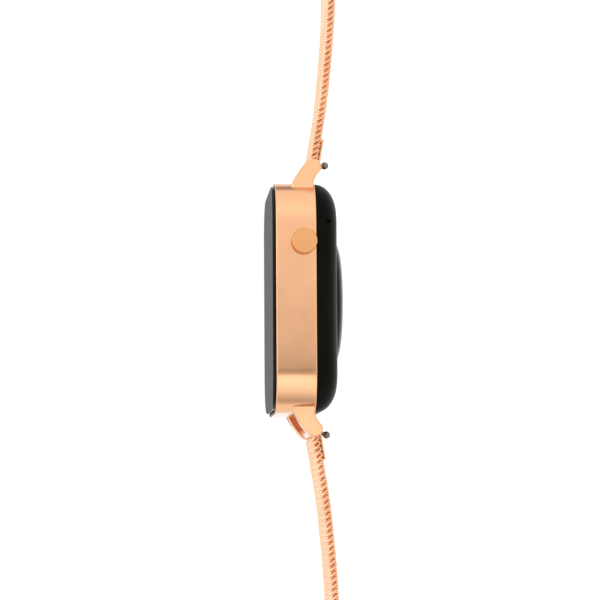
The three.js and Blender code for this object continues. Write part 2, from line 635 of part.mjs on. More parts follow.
const watch = new THREE.Group();
watch.name = "smartwatch";
watch.add(piece("case_frame", caseFrame(), ROSE));
watch.add(piece("glass_seal", glassSeal(), RUBBER));
watch.add(piece("display_glass", plate(GLASS_INSET, [GLASS_BOTTOM, GLASS_TOP], 0.3), GLASS));
watch.add(piece("back_cover", backCover(), BLACK));
watch.add(piece("back_seal", backSeal(), RUBBER));
watch.add(piece("sensor_window", sensorWindow(), GLASS));
insides(watch);
crown(watch);
watch.add(upperStrap());
watch.add(lowerStrap());

export default watch;
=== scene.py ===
"""A rectangular smartwatch with a woven metal mesh strap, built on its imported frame, in metres."""
import json
import math

import bmesh
import bpy
import numpy as np
from mathutils import Matrix, Vector

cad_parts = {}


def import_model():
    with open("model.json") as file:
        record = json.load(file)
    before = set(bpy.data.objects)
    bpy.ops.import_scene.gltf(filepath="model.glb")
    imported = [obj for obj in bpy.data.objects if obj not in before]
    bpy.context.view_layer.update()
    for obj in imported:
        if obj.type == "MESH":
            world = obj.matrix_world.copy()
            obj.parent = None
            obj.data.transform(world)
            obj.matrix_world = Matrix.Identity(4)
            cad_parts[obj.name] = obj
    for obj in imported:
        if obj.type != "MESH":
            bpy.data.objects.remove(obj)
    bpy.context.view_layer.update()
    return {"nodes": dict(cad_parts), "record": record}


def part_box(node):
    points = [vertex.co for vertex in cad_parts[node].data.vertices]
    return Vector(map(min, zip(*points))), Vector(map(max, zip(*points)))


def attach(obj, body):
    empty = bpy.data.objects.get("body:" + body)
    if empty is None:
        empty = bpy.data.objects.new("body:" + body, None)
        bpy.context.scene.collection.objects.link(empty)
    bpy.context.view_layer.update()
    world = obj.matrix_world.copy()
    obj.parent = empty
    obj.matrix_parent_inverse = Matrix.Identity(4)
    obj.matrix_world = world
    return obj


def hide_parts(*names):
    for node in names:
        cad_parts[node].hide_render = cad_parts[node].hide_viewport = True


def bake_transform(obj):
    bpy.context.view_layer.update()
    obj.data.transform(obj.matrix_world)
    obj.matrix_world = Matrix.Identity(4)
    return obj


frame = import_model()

MM = 0.001

# ---- Case: sizes that repeat the design's own ----
CORNER = 8 * MM
SMALLEST_CORNER = 0.05 * MM
CASE_LENGTH = 43 * MM
CASE_WALL = 2.2 * MM
CASE_EDGE = 0.18 * MM
REBATE_INSET = 0.45 * MM
GLASS_LEDGE = 0.5 * MM  # from the ledge under the glass to the glass
GLASS_EDGE = 0.3 * MM
GLASS_ROUND = 0.5 * MM
GLASS_BACK_EDGE = 0.15 * MM
BACK_ROUND = 5.5 * MM
BACK_INSET = 0.15 * MM
BACK_GAP = 0.1 * MM
BACK_FLOOR = 1.4 * MM
LIP_ROOM = 0.2 * MM
LIP_RISE = 1.1 * MM
POCKET_INSET = 3.5 * MM
ABOVE = 0.02  # clear of the top of the case

# ---- Window, microphone hole and crown ----
WINDOW_R = 11.7 * MM
WINDOW_FLAT_R = 7 * MM
WINDOW_RISE = 1.5 * MM
WINDOW_TOP = 2 * MM
GROOVE_DEPTH = 0.05 * MM
GROOVE = [(0.55, 0), (0.56, 1), (0.6, 1), (0.61, 0)]  # shares of the flat's radius and of the depth
WINDOW_HOLE_R = 11.9 * MM
WINDOW_SEAT = 0.8 * MM
SENSOR_HOLE_R = 10 * MM
MIC_R = 0.4 * MM
MIC_AT = (0, 13.7 * MM, 3.3 * MM)
CROWN_Y = 9.9 * MM
CROWN_Z = 7.9 * MM
CROWN_AT = (0, CROWN_Y, CROWN_Z)
CROWN_BORE_R = 1.5 * MM
CROWN_BORE_DEPTH = 4 * MM
CROWN_RELIEF_R = 2.1 * MM
CROWN_STEP = 0.16 * MM  # how much smaller the end face is than the fluted drum
CROWN_FACE = 0.35 * MM
CROWN_FLUTES = 48
FLUTE_SIDES = 4 * CROWN_FLUTES
FLUTE_DEPTH = 0.15 * MM
FLUTE_RIM = 0.03 * MM
CROWN_SHARP = 15
STEM_R = 0.8 * MM
STEM_DEPTH = 0.7 * MM

# ---- Lugs, spring bars and end links ----
BAR_Y = 24.4 * MM
BAR_Z = 5.75 * MM
BAR_R = 0.75 * MM
BAR_CHAMFER = 0.1 * MM
BAR_BORE_R = 0.5 * MM
TIP_R = 0.4 * MM
TIP_TAPER = 0.6
TIP_CHAMFER = 0.2 * MM
TIP_ROOM = 0.1 * MM
LUG_INNER = 10.2 * MM
LUG_THICK = 3.2 * MM
LUG_TIP_R = 1.45 * MM
LUG_TIP_START, LUG_TIP_END = 0.3, -2.1  # the tip's arc, in radians from the strap's outward side
LUG_TIP_STEPS = 20
LUG_ROOT_Z = 9.9 * MM
LUG_EDGE = 0.3 * MM
LUG_FLARE = 0.9 * MM
LUG_STILL = 0.25  # the share of the lug's length, from its tip, where the flare is nought
LUG_HOLE_DEPTH = 1.6 * MM
TIP_REACH = LUG_INNER + 1.3 * MM
LINK_R = 1.25 * MM
LINK_BORE_R = 0.85 * MM
KNOB_X = 6.5 * MM
KNOB_R = 0.7 * MM
KNOB_REACH = 2.7 * MM
KNOB_TILT = math.radians(31)
KNOB_TRAVEL = 1.8 * MM
KNOB_WAIST = 0.85  # the stem's waist: its radius as a share of the neck's
WAIST_AT = 0.55  # and its place along the stem
BALL_START = 0.6  # where the ball leaves the stem, in radians
BALL_STEPS = 18
PLUNGER_TAIL = 3.5 * MM
FLAP_THICK = 0.35 * MM
FLAP_LENGTH = 5.9 * MM
FLAP_EDGE = 0.1 * MM
FLAP_GAP = 0.1 * MM
HOLE_SIDES = 32

# ---- Strap ----
STRAP_WIDTH = 20 * MM
STRAP_THICK = 1.55 * MM
BAR_REACH = STRAP_WIDTH / 2 - 0.3 * MM
LINK_REACH = STRAP_WIDTH / 2 - 0.2 * MM
FIRST_SLAB = 13.75 * MM
SLAB = 14.8 * MM
SLOPES = [math.radians(a) for a in (9.6, 5.2, 1.4, 0)]
STRAPS = {"upper": (5, 17 * MM, 1), "lower": (6, 45 * MM, -1)}  # slabs, last slab, side of Y
BEND_SOFTNESS = 5 * MM
ROUTE_SAMPLES = 4000
ROUTE_SPARE = 2 * MM
MESH_SHORT = 0.4 * MM  # how far the last coil's row stays from the strap's end

# ---- The weave ----
WIRE_R = 0.23 * MM
WIRE_SIDES = 8
WIRE_SHARP = 50
FIRST_ROW = LINK_R + 0.95 * MM
ROW_PITCH = 1.08 * MM
COIL_PITCH = 1.15 * MM
COIL_REACH = 0.82 * MM  # half a coil's length along the strap
COIL_LEAN = 0.75  # how far the coil's outline leans along the strap, per unit of thickness
COIL_STEPS = 12
EDGE_LOOP = 0.25 * MM  # how far a coil's last loops stand out sideways
HALF_LOOP = 0.25  # half of such a loop, in turns
PRESSED = 0.1 * MM  # from a pressed wire's middle to the strap's flat face
ASIDE = np.array([1.0, 0.15, 0.1])  # a direction that no wire runs in

CASE_LOW, CASE_HIGH = (Vector(corner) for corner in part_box("case_frame"))
CASE_WIDTH = CASE_HIGH.x - CASE_LOW.x
GLASS_LOW, GLASS_HIGH = (Vector(corner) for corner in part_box("display_glass"))
BACK_LOW, BACK_HIGH = (Vector(corner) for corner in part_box("back_cover"))
CASE_BOTTOM = BACK_HIGH.z - LIP_RISE

# ---- Mesh helpers ----
SHARP = 40
WELD = 1e-7
CAD_WELD = 2e-7
CAD_FLAT = math.radians(1)
CORNER_STEPS = 20


def added(name, data):
    """A new object, in the scene."""
    obj = bpy.data.objects.new(name, data)
    bpy.context.scene.collection.objects.link(obj)
    return obj


def shade(mesh, sharp=SHARP):
    """Smooth shading, with edges that turn by more than sharp degrees kept."""
    mesh.polygons.foreach_set("use_smooth", [True] * len(mesh.polygons))
    mesh.set_sharp_from_angle(angle=math.radians(sharp))


def finished(name, mesh, sharp=SHARP):
    bm = bmesh.new()
    bm.from_mesh(mesh)
    bmesh.ops.remove_doubles(bm, verts=bm.verts, dist=WELD)
    bmesh.ops.recalc_face_normals(bm, faces=bm.faces)
    bm.to_mesh(mesh)
    bm.free()
    shade(mesh, sharp)
    return added(name, mesh)


def new_object(name, verts, faces, sharp=SHARP):
    mesh = bpy.data.meshes.new(name)
    mesh.from_pydata([tuple(v) for v in verts], [], [tuple(f) for f in faces])
    return finished(name, mesh, sharp)


def apply_modifiers(obj):
    graph = bpy.context.evaluated_depsgraph_get()
    mesh = bpy.data.meshes.new_from_object(obj.evaluated_get(graph))
    obj.modifiers.clear()
    obj.data = mesh


def combine(obj, tool, operation="DIFFERENCE"):
    """Joins or cuts obj with tool, which is used up."""
    modifier = obj.modifiers.new("cut", "BOOLEAN")
    modifier.operation = operation
    modifier.solver = "EXACT"
    modifier.object = tool
    apply_modifiers(obj)
    shade(obj.data)
    bpy.data.objects.remove(tool, do_unlink=True)


def bevelled(obj, width, segments=3, angle=35):
    modifier = obj.modifiers.new("bevel", "BEVEL")
    modifier.width = width
    modifier.segments = segments
    modifier.limit_method = "ANGLE"
    modifier.angle_limit = math.radians(angle)
    modifier.harden_normals = False
    apply_modifiers(obj)
    shade(obj.data)
    return obj


def quarter(steps):
    """Angles from 0 to a right angle."""
    return [k / steps * math.pi / 2 for k in range(steps + 1)]


def tilted(y, z, angle):
    return y * math.cos(angle) - z * math.sin(angle), y * math.sin(angle) + z * math.cos(angle)


def outline(inset):
    """The case's plan outline, moved in by inset."""
    r = max(CORNER - inset, SMALLEST_CORNER)
    cx, cy = CASE_WIDTH / 2 - inset - r, CASE_LENGTH / 2 - inset - r
    points = []
    for turn, (sx, sy) in enumerate([(1, 1), (-1, 1), (-1, -1), (1, -1)]):
        for k in range(CORNER_STEPS + 1):
            a = math.radians(90 * (turn + k / CORNER_STEPS))
            points.append((sx * cx + r * math.cos(a), sy * cy + r * math.sin(a)))
    return points


def lofted(name, levels, sharp=SHARP):
    """A closed body through plan outlines, each given by its inset and height."""
    verts, faces = [], []
    count = len(outline(0))
    for inset, z in levels:
        verts += [(x, y, z) for x, y in outline(inset)]
    for level in range(len(levels) - 1):
        for k in range(count):
            a, b = level * count + k, level * count + (k + 1) % count
            faces.append((a, b, b + count, a + count))
    faces.append(range(count - 1, -1, -1))
    faces.append(range((len(levels) - 1) * count, len(levels) * count))
    return new_object(name, verts, faces, sharp)


def prism(name, inset, low, high=ABOVE):
    """The case's plan outline, moved in by inset, between two heights."""
    return lofted(name, [(inset, low), (inset, high)])


def turned(name, profile, sides=64, axis="Z", at=(0, 0, 0), sharp=30):
    """A lathe-turned body: profile holds (radius, height) pairs and starts and ends on the axis."""
    verts, faces, rings = [], [], []
    angles = [2 * math.pi * k / sides for k in range(sides)]
    for r, h in profile:
        if not r:
            rings.append([len(verts)])
            verts.append((0, 0, h))
            continue
        rings.append(list(range(len(verts), len(verts) + sides)))
        verts += [(r * math.cos(a), r * math.sin(a), h) for a in angles]
    for low, high in zip(rings, rings[1:]):
        for k in range(sides):
            n = (k + 1) % sides
            quad = [low[k % len(low)], low[n % len(low)], high[n % len(high)], high[k % len(high)]]
            faces.append(list(dict.fromkeys(quad)))
    turn = {"Z": lambda v: v, "X": lambda v: (v[2], v[0], v[1])}[axis]
    placed = [tuple(a + b for a, b in zip(turn(v), at)) for v in verts]
    return new_object(name, placed, faces, sharp)


def drum(name, radius, low, high, axis="Z", at=(0, 0, 0), sides=64):
    return turned(name, [(0, low), (radius, low), (radius, high), (0, high)], sides, axis, at)


def block(name, low, high):
    corners = [(x, y, z) for z in (low[2], high[2]) for y in (low[1], high[1]) for x in (low[0], high[0])]
    faces = [(0, 2, 3, 1), (4, 5, 7, 6), (0, 1, 5, 4), (2, 6, 7, 3), (0, 4, 6, 2), (1, 3, 7, 5)]
    return new_object(name, corners, faces)


def swept_across(name, points, x0, x1):
    """A closed outline in Y and Z, carried from x0 to x1."""
    n = len(points)
    verts = [(x0, y, z) for y, z in points] + [(x1, y, z) for y, z in points]
    faces = [(k, (k + 1) % n, n + (k + 1) % n, n + k) for k in range(n)]
    return new_object(name, verts, faces + [range(n - 1, -1, -1), range(n, 2 * n)])


def arc(cy, cz, r, start, end, steps):
    return [(cy + r * math.cos(a), cz + r * math.sin(a)) for a in np.linspace(start, end, steps)]


def quadratic(p0, p1, p2, steps=10):
    """Points of the curve from p0 to p2 that p1 pulls."""
    return [
        tuple((1 - t) ** 2 * a + 2 * t * (1 - t) * b + t * t * c for a, b, c in zip(p0, p1, p2))
        for t in np.linspace(0, 1, steps)
    ]


def refined(node, width):
    """A copy of a CAD solid with its flat faces merged and its edges rounded."""
    mesh = frame["nodes"][node].data.copy()
    mesh.materials.clear()
    bm = bmesh.new()
    bm.from_mesh(mesh)
    bmesh.ops.remove_doubles(bm, verts=bm.verts, dist=CAD_WELD)
    bmesh.ops.dissolve_limit(bm, angle_limit=CAD_FLAT, verts=bm.verts, edges=bm.edges)
    bm.to_mesh(mesh)
    bm.free()
    return bevelled(finished(node + "_finish", mesh), width, 2)


def even_shading(obj):
    """Lets the large faces set the shading, so that flat ones look flat right up to their rounded edges."""
    modifier = obj.modifiers.new("normals", "WEIGHTED_NORMAL")
    modifier.keep_sharp = True
    apply_modifiers(obj)


def place(obj, body, material, slot, *nodes):
    """Gives a piece its material and body, and says which CAD nodes it stands for."""
    even_shading(obj)
    obj.data.materials.clear()
    obj.data.materials.append(material)
    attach(obj, body)
    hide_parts(*nodes)


# ---- Material helpers ----
PATCH_SCALE = 180  # cells per metre of the slow change in colour
NOISE_DETAIL = 3
NOISE_LOW, NOISE_HIGH = 0.3, 0.7  # where nearly all of a noise's values lie
RELIEF_DEPTH = 0.02 * MM


def shader(name, **values):
    material = bpy.data.materials.new(name)
    material.use_nodes = True
    bsdf = material.node_tree.nodes["Principled BSDF"]
    for key, value in values.items():
        bsdf.inputs[key.replace("_", " ")].default_value = value
    return material, bsdf


def noise(tree, scale, stretch=(1, 1, 1)):
    """Noise in the object's own coordinates, in cells per metre."""
    where = tree.nodes.new("ShaderNodeTexCoord")
    mapping = tree.nodes.new("ShaderNodeMapping")
    mapping.inputs["Scale"].default_value = stretch
    texture = tree.nodes.new("ShaderNodeTexNoise")
    texture.inputs["Scale"].default_value = scale
    texture.inputs["Detail"].default_value = NOISE_DETAIL
    tree.links.new(where.outputs["Object"], mapping.inputs["Vector"])
    tree.links.new(mapping.outputs["Vector"], texture.inputs["Vector"])
    return texture.outputs["Fac"]


def mapped(tree, value, start, end, low, high):
    """Maps a value from start..end to low..high."""
    node = tree.nodes.new("ShaderNodeMapRange")
    node.inputs["From Min"].default_value = start
    node.inputs["From Max"].default_value = end
    node.inputs["To Min"].default_value = low
    node.inputs["To Max"].default_value = high
    tree.links.new(value, node.inputs["Value"])
    return node.outputs["Result"]


def blended(tree, value, dark, light):
    node = tree.nodes.new("ShaderNodeMix")
    node.data_type = "RGBA"
    tree.links.new(value, node.inputs["Factor"])
    node.inputs["A"].default_value = (*dark, 1)
    node.inputs["B"].default_value = (*light, 1)
    return node.outputs["Result"]


def bump(tree, bsdf, height, strength):
    node = tree.nodes.new("ShaderNodeBump")
    node.inputs["Strength"].default_value = strength
    node.inputs["Distance"].default_value = RELIEF_DEPTH
    tree.links.new(height, node.inputs["Height"])
    tree.links.new(node.outputs["Normal"], bsdf.inputs["Normal"])


def surface(name, dark, light, rough, metallic=0.0, grain=4000, stretch=(1, 1, 1), relief=0.05, **values):
    """A finish with slight colour and gloss variation and a fine relief."""
    material, bsdf = shader(name, Metallic=metallic, **values)
    tree = material.node_tree
    patches = mapped(tree, noise(tree, PATCH_SCALE), NOISE_LOW, NOISE_HIGH, 0, 1)
    fine = noise(tree, grain, stretch)
    tree.links.new(blended(tree, patches, dark, light), bsdf.inputs["Base Color"])
    tree.links.new(mapped(tree, fine, NOISE_LOW, NOISE_HIGH, *rough), bsdf.inputs["Roughness"])
    bump(tree, bsdf, fine, relief)
    return material


ROSE = ((0.80, 0.43, 0.235), (0.86, 0.475, 0.265))
MATERIALS = {
    "case": surface("rose_gold_case", *ROSE, (0.10, 0.16), 1.0, 5000, (1, 1, 12), 0.03),
    # Painted shade: the crown's rose gold is a darker, more orange copy of the case's, so that the crown
    # looks darker than the case under the same light.
    "crown": surface(
        "rose_gold_crown_painted_shade", (0.75, 0.36, 0.15), (0.8, 0.4, 0.17), (0.1, 0.16), 1.0, 5000, relief=0.02),
    "plate": surface("rose_gold_polished", *ROSE, (0.1, 0.2), 1.0, 6000, relief=0.03),
    "wire": surface("rose_gold_wire", (0.82, 0.45, 0.26), (0.92, 0.55, 0.35), (0.06, 0.13), 1.0, 9000),
    "steel": surface(
        "spring_steel", (0.45, 0.45, 0.46), (0.62, 0.61, 0.6), (0.18, 0.3), 1.0, 6000, (8, 1, 1), 0.04),
    "knob": surface(
        "dark_steel", (0.14, 0.135, 0.125), (0.24, 0.235, 0.22), (0.15, 0.25), 1.0, 6000, relief=0.04),
    "glass": surface(
        "black_glass", (0.004, 0.005, 0.005), (0.008, 0.009, 0.009), (0.05, 0.09),
        grain=700, relief=0.0, IOR=1.2),
    "black": surface(
        "satin_black", (0.003, 0.0035, 0.0022), (0.005, 0.0055, 0.0035), (0.28, 0.38),
        grain=9000, relief=0.1, IOR=1.1),
    "window": surface(
        "dark_window", (0.003, 0.003, 0.004), (0.006, 0.006, 0.008), (0.04, 0.08),
        grain=900, relief=0.0, IOR=1.25),
    "rubber": surface("seal_rubber", (0.01, 0.01, 0.01), (0.02, 0.02, 0.02), (0.6, 0.8), grain=3000),
    "board": surface("solder_mask", (0.005, 0.05, 0.015), (0.01, 0.09, 0.03), (0.35, 0.5), grain=2500),
    "flex": surface("amber_film", (0.4, 0.16, 0.03), (0.55, 0.25, 0.05), (0.3, 0.45), grain=2500),
    "cell": surface("foil_pouch", (0.12, 0.125, 0.13), (0.2, 0.2, 0.21), (0.35, 0.5), 0.7, 2500),
    "copper": surface("enamelled_copper", (0.45, 0.17, 0.06), (0.62, 0.27, 0.1), (0.25, 0.4), 1.0, 3000),
}
SLOT_LOOKS = {
    "rose_case": "case", "rose_steel": "plate", "rose_mesh": "wire", "display_glass": "glass",
    "sensor_glass": "window", "black_plastic": "black", "steel": "steel", "rubber": "rubber",
    "board": "board", "flex": "flex", "cell": "cell", "copper": "copper",
}
NODE_LOOKS = {"microphone": "rubber"}  # its port has a dark gasket


def dress_cad_nodes():
    for part in frame["record"]["subparts"]:
        look = NODE_LOOKS.get(part["node"]) or SLOT_LOOKS[part["material_slot"]]
        mesh = frame["nodes"][part["node"]].data
        mesh.materials.clear()
        mesh.materials.append(MATERIALS[look])


# ---- Case ----
def case_levels():
    """Insets and heights of the case's wall, whose two edges are rounded."""
    low, high, edge = CASE_BOTTOM, CASE_HIGH.z, CASE_EDGE
    bottom = [(edge * (1 - math.sin(a)), low + edge * (1 - math.cos(a))) for a in quarter(5)]
    top = [(edge * (1 - math.cos(a)), high - edge * (1 - math.sin(a))) for a in quarter(5)]
    return bottom + top


def lug_points(side):
    """The lug's outline: a swept arm from the case's end to a round tip at the spring bar."""
    end = CASE_LENGTH / 2
    root = end - CASE_WALL * 0.75
    back = CASE_BOTTOM + CASE_EDGE
    shoulder, shoulder_pull = (end - 0.3 * MM, LUG_ROOT_Z), (end + 1.8 * MM, LUG_ROOT_Z - 1.1 * MM)
    waist, waist_pull = (BAR_Y + 0.5 * MM, BAR_Z + 1.75 * MM), (BAR_Y + 1.25 * MM, BAR_Z + 1.15 * MM)
    belly, belly_pull = (end + 0.2 * MM, back), (end + 1.2 * MM, back - 0.35 * MM)
    tip = arc(BAR_Y, BAR_Z, LUG_TIP_R, LUG_TIP_START, LUG_TIP_END, LUG_TIP_STEPS)
    points = [(root, back), (root, LUG_ROOT_Z)]
    points += quadratic(shoulder, shoulder_pull, waist)
    points += quadratic(waist, waist_pull, tip[0])[1:] + tip[1:]
    points += quadratic(tip[-1], belly_pull, belly)[1:]
    return [(side * y, z) for y, z in points]


def flared(lug):
    """Moves a lug's outer side in at the tip and out at the root, where it runs into the case's corner."""
    for v in lug.data.vertices:
        if abs(v.co.x) > LUG_INNER + LUG_THICK / 2:
            t = (BAR_Y + LUG_TIP_R - abs(v.co.y)) / (BAR_Y - CASE_LENGTH / 2 + CASE_WALL)
            v.co.x += math.copysign(LUG_FLARE * (t - LUG_STILL), v.co.x)
    return lug


def case_frame():
    body = lofted("case_frame_finish", case_levels())
    for side in (1, -1):
        for x in (LUG_INNER, -LUG_INNER - LUG_THICK):
            lug = flared(swept_across("lug", lug_points(side), x, x + LUG_THICK))
            combine(body, bevelled(lug, LUG_EDGE, angle=50), "UNION")
        hole = LUG_INNER + LUG_HOLE_DEPTH
        combine(body, drum("hole", TIP_R + TIP_ROOM, -hole, hole, "X", (0, side * BAR_Y, BAR_Z), 24))
    combine(body, prism("pocket", CASE_WALL, 0))
    combine(body, prism("rebate", REBATE_INSET, GLASS_LOW.z - GLASS_LEDGE))
    inside, outside = CASE_WIDTH / 2 - CROWN_BORE_DEPTH, CASE_WIDTH / 2 + MM
    combine(body, drum("bore", CROWN_BORE_R, inside, outside, "X", CROWN_AT, HOLE_SIDES))
    place(body, "case", MATERIALS["case"], "rose_case", "case_frame")


def display_glass():
    inset = (CASE_WIDTH - (GLASS_HIGH.x - GLASS_LOW.x)) / 2
    levels = [(inset + GLASS_BACK_EDGE, GLASS_LOW.z), (inset, GLASS_LOW.z + GLASS_BACK_EDGE)]
    for a in quarter(8):
        z = GLASS_HIGH.z - GLASS_EDGE * (1 - math.sin(a))
        levels.append((inset + GLASS_ROUND * (1 - math.cos(a)), z))
    body = lofted("display_glass_finish", levels, 60)
    place(body, "case", MATERIALS["glass"], "display_glass", "display_glass")


def back_cover():
    """A pillow-shaped shell: an elliptical edge all round, open at the top, with the window's hole."""
    low, rim = BACK_LOW.z, CASE_BOTTOM - BACK_GAP
    levels = [
        (BACK_INSET + BACK_ROUND * (1 - math.sin(a)), rim - (rim - low) * math.cos(a)) for a in quarter(14)
    ]
    body = lofted("back_cover_finish", levels, 50)
    combine(body, prism("lip", LIP_ROOM + CASE_WALL, rim - MM, BACK_HIGH.z), "UNION")
    combine(body, prism("pocket", POCKET_INSET, low + BACK_FLOOR))
    combine(body, drum("rebate", WINDOW_HOLE_R, -MM, low + WINDOW_SEAT))
    combine(body, drum("through", SENSOR_HOLE_R, 0, low + 3 * MM))
    inside = CASE_WIDTH / 2 - POCKET_INSET - MM
    wall_inside = CASE_WIDTH / 2 - CASE_WALL + MM
    combine(body, drum("mic", MIC_R, inside, CASE_WIDTH, "X", MIC_AT, 24))
    combine(body, drum("relief", CROWN_RELIEF_R, inside, wall_inside, "X", CROWN_AT, HOLE_SIDES))
    place(body, "case", MATERIALS["black"], "black_plastic", "back_cover")


def sensor_window():
    """A dome with a flat middle, in which a fine round groove is cut."""
    flat = WINDOW_FLAT_R
    profile = [(0, 0)] + [(flat * share, GROOVE_DEPTH * deep) for share, deep in GROOVE] + [(flat, 0)]
    for a in quarter(12)[1:]:
        profile.append((flat + (WINDOW_R - flat) * math.sin(a), WINDOW_RISE * (1 - math.cos(a))))
    body = turned("sensor_window_finish", profile + [(WINDOW_R, WINDOW_TOP), (0, WINDOW_TOP)], 96)
    place(body, "case", MATERIALS["window"], "sensor_glass", "sensor_window")


def fluted(body, r):
    """Presses the flutes into the widest part of the crown."""
    for v in body.data.vertices:
        dy, dz = v.co.y - CROWN_Y, v.co.z - CROWN_Z
        radius = math.hypot(dy, dz)
        if radius > r - FLUTE_RIM:
            share = 1 - FLUTE_DEPTH / radius * (0.5 + 0.5 * math.cos(CROWN_FLUTES * math.atan2(dz, dy)))
            v.co.y, v.co.z = CROWN_Y + dy * share, CROWN_Z + dz * share


def crown():
    """The crown's cap: a fluted drum and, a little smaller, a polished flat end."""
    low, high = (Vector(c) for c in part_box("crown_cap"))
    r, length = (high.y - low.y) / 2, high.x - low.x
    face, step = r - CROWN_STEP, length - CROWN_FACE
    heel = [(0, 0), (r - 0.35 * MM, 0), (r - 0.08 * MM, 0.12 * MM), (r, 0.3 * MM)]
    shoulder = [(r, step - 0.15 * MM), (r - 0.1 * MM, step)]
    neck = [(face - 0.06 * MM, step + 0.02 * MM), (face, step + 0.1 * MM)]
    rim = [(face, length - 0.1 * MM), (face - 0.03 * MM, length - 0.03 * MM), (face - 0.1 * MM, length)]
    profile = heel + shoulder + neck + rim + [(0, length)]
    body = turned("crown_cap_finish", profile, FLUTE_SIDES, "X", (low.x, CROWN_Y, CROWN_Z), CROWN_SHARP)
    fluted(body, r)
    combine(body, drum("bore", STEM_R, low.x - MM, low.x + STEM_DEPTH, "X", CROWN_AT, HOLE_SIDES))
    body.data.set_sharp_from_angle(angle=math.radians(CROWN_SHARP))
    # The crown takes the darker copy of the case's rose gold, which is painted shade.
    place(body, "crown", MATERIALS["crown"], "rose_case", "crown_cap")


# ---- Strap ends: each piece is made round the spring bar, then put at the strap's first slope ----
def sloped(obj, side):
    for v in obj.data.vertices:
        y, z = tilted(v.co.y, v.co.z, -SLOPES[0])
        v.co.y, v.co.z = side * (BAR_Y + y), BAR_Z + z
    if side < 0:
        obj.data.flip_normals()


def end_link(name, side):
    top = -STRAP_THICK / 2 - FLAP_GAP
    flap = block("flap", (-LINK_REACH, 0, top - FLAP_THICK), (LINK_REACH, FLAP_LENGTH, top))
    body = drum(f"{name}_end_link_finish", LINK_R, -LINK_REACH, LINK_REACH, "X", sides=48)
    combine(body, bevelled(flap, FLAP_EDGE, 2, 60), "UNION")
    combine(body, drum("bore", LINK_BORE_R, -LINK_REACH - MM, LINK_REACH + MM, "X", sides=HOLE_SIDES))
    room = TIP_R + 0.25 * MM
    slot_low = (KNOB_X - KNOB_TRAVEL - room, -0.35 * MM, -3 * MM)
    combine(body, block("slot", slot_low, (KNOB_X + room, 1.9 * MM, -0.4 * MM)))
    sloped(body, side)
    place(body, f"{name}_link", MATERIALS["plate"], "rose_steel", f"{name}_end_link")


def spring_bar(name, side):
    """A barrel with a fixed tip at one end, open at the other, and slotted for the knob."""
    tip, reach, waist = TIP_REACH, BAR_REACH, BAR_R - BAR_CHAMFER
    fixed_tip = [(0, -tip), (TIP_R * TIP_TAPER, -tip), (TIP_R, -tip + TIP_CHAMFER)]
    barrel = [(TIP_R, -reach - BAR_CHAMFER), (waist, -reach), (BAR_R, -reach + 0.15 * MM)]
    barrel += [(BAR_R, reach - BAR_CHAMFER), (waist, reach), (0, reach)]
    body = turned(f"{name}_spring_bar_finish", fixed_tip + barrel, 48, "X")
    combine(body, drum("bore", BAR_BORE_R, MM, reach + MM, "X", sides=HOLE_SIDES))
    room = TIP_R + 0.15 * MM
    slot = block("slot", (KNOB_X - KNOB_TRAVEL - room, -room, -1.5 * MM), (KNOB_X + room, room, 0))
    for v in slot.data.vertices:
        v.co.y, v.co.z = tilted(v.co.y, v.co.z, KNOB_TILT)
    combine(body, slot)
    sloped(body, side)
    place(body, f"{name}_link", MATERIALS["steel"], "steel", f"{name}_spring_bar")


def release_plunger(name, side):
    """The sprung tip, with its knob: a waisted stem and a ball."""
    tail, tip = KNOB_X - PLUNGER_TAIL, TIP_REACH
    profile = [(0, tail), (TIP_R, tail), (TIP_R, tip - TIP_CHAMFER), (TIP_R * TIP_TAPER, tip), (0, tip)]
    body = turned(f"{name}_release_plunger_finish", profile, 32, "X")
    stem = [(0, 0), (TIP_R, 0), (TIP_R * KNOB_WAIST, KNOB_REACH * WAIST_AT)]
    round_ball = np.linspace(BALL_START, math.pi, BALL_STEPS)
    ball = [(KNOB_R * math.sin(a), KNOB_REACH - KNOB_R * math.cos(a)) for a in round_ball]
    knob = turned("knob", stem + ball[:-1] + [(0, KNOB_REACH + KNOB_R)], 32)
    for v in knob.data.vertices:
        v.co.x += KNOB_X
        v.co.y, v.co.z = tilted(v.co.y, -v.co.z, KNOB_TILT)
    knob.data.flip_normals()
    combine(body, knob, "UNION")
    sloped(body, side)
    place(body, f"{name}_release", MATERIALS["knob"], "steel", f"{name}_release_plunger")


# ---- Woven mesh ----
def strap_hinges(count, last):
    """The distance along the strap of each hinge, from the bar's axis, and the end."""
    hinges = [0.0] + [FIRST_SLAB + k * SLAB for k in range(count - 1)]
    return hinges + [hinges[-1] + last]


def strap_route(count, last):
    """The centreline as arrays of distance, outward Y, Z and slope, with its bends rounded off."""
    hinges = strap_hinges(count, last)
    s = np.linspace(0, hinges[-1] + ROUTE_SPARE, ROUTE_SAMPLES)
    slope = np.full_like(s, SLOPES[0])
    for k in range(1, len(SLOPES)):
        turn = SLOPES[k] - SLOPES[k - 1]
        slope += turn * np.clip((s - hinges[k] + BEND_SOFTNESS) / (2 * BEND_SOFTNESS), 0, 1)
    ds = s[1] - s[0]
    y = BAR_Y + np.concatenate([[0], np.cumsum(np.cos(slope[:-1]) * ds)])
    z = BAR_Z - np.concatenate([[0], np.cumsum(np.sin(slope[:-1]) * ds)])
    return s, y, z, slope


def on_strap(route, along, x, rise):
    """Points of the strap's own coordinates in space, on the side of +Y."""
    s, y, z, slope = route
    a = np.interp(along, s, slope)
    y_here, z_here = np.interp(along, s, y), np.interp(along, s, z)
    return np.stack([x, y_here + rise * np.sin(a), z_here + rise * np.cos(a)], -1)


